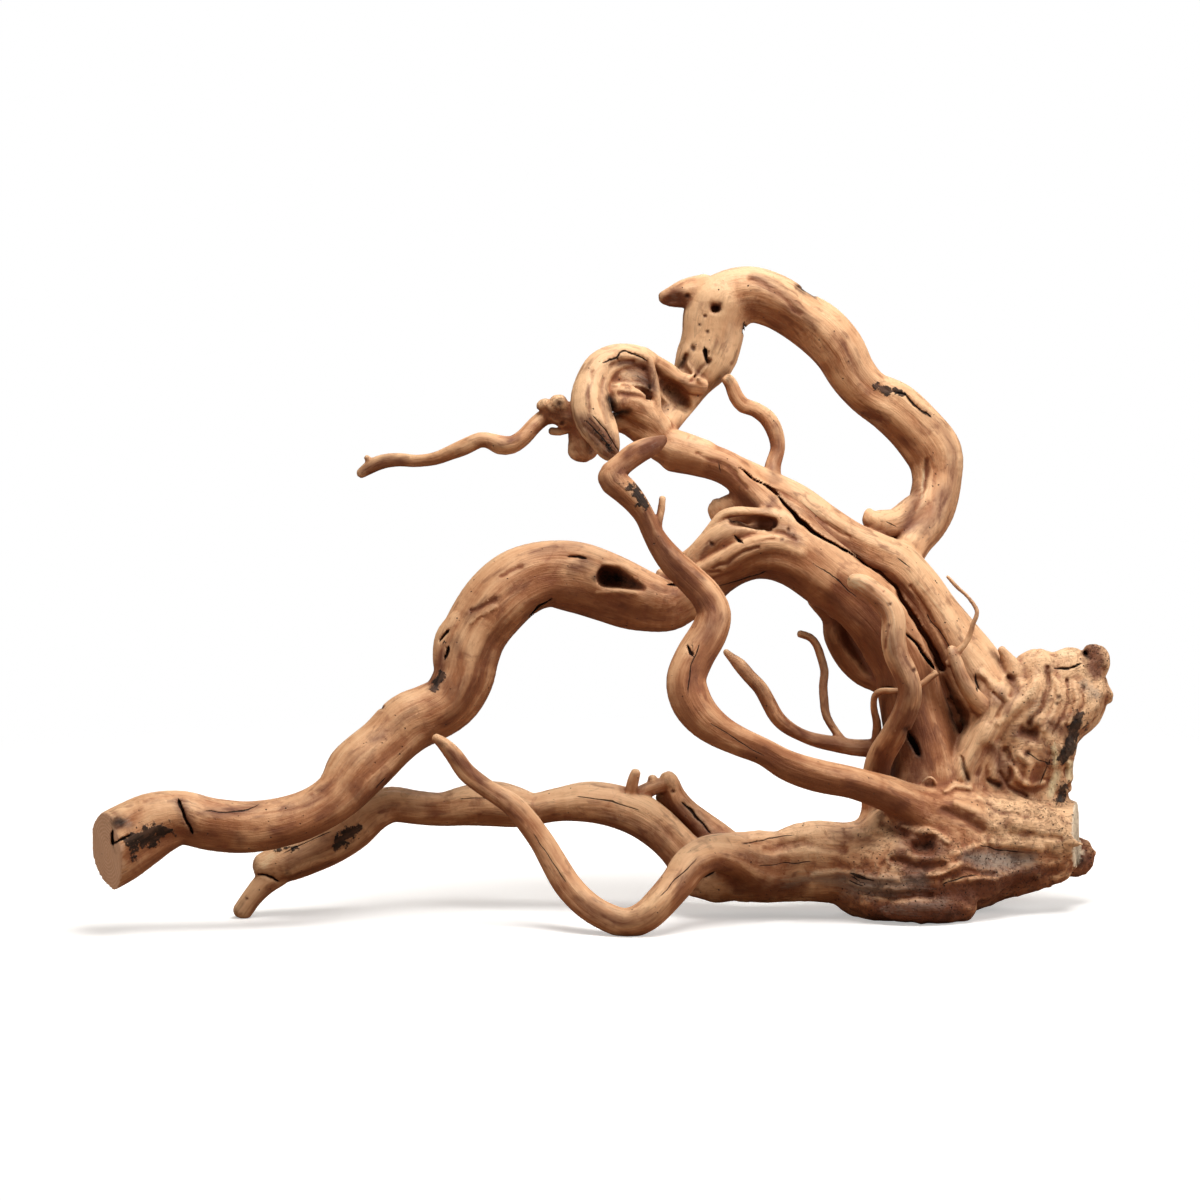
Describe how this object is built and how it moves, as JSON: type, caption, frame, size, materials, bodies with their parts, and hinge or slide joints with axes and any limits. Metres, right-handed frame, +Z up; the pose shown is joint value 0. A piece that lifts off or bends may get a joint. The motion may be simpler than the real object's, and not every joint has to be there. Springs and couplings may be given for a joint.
{
  "type": "aquarium driftwood root",
  "caption": "Branching driftwood root for an aquarium or terrarium, with an arched trunk, looping limbs, thin twigs and a gnarled crown; it lies on its crown and two lower limbs.",
  "frame": {"origin": "centre of the bounding box, on the surface that the root lies on", "axes": "+X along the longest side, towards the crown; +Y away from the side the picture shows; +Z up"},
  "size_m": [0.6058, 0.207, 0.3849],
  "materials": {
    "driftwood": "bare weathered root wood"
  },
  "bodies": {
    "root": {"driftwood_root": "driftwood"}
  },
  "joints": []
}
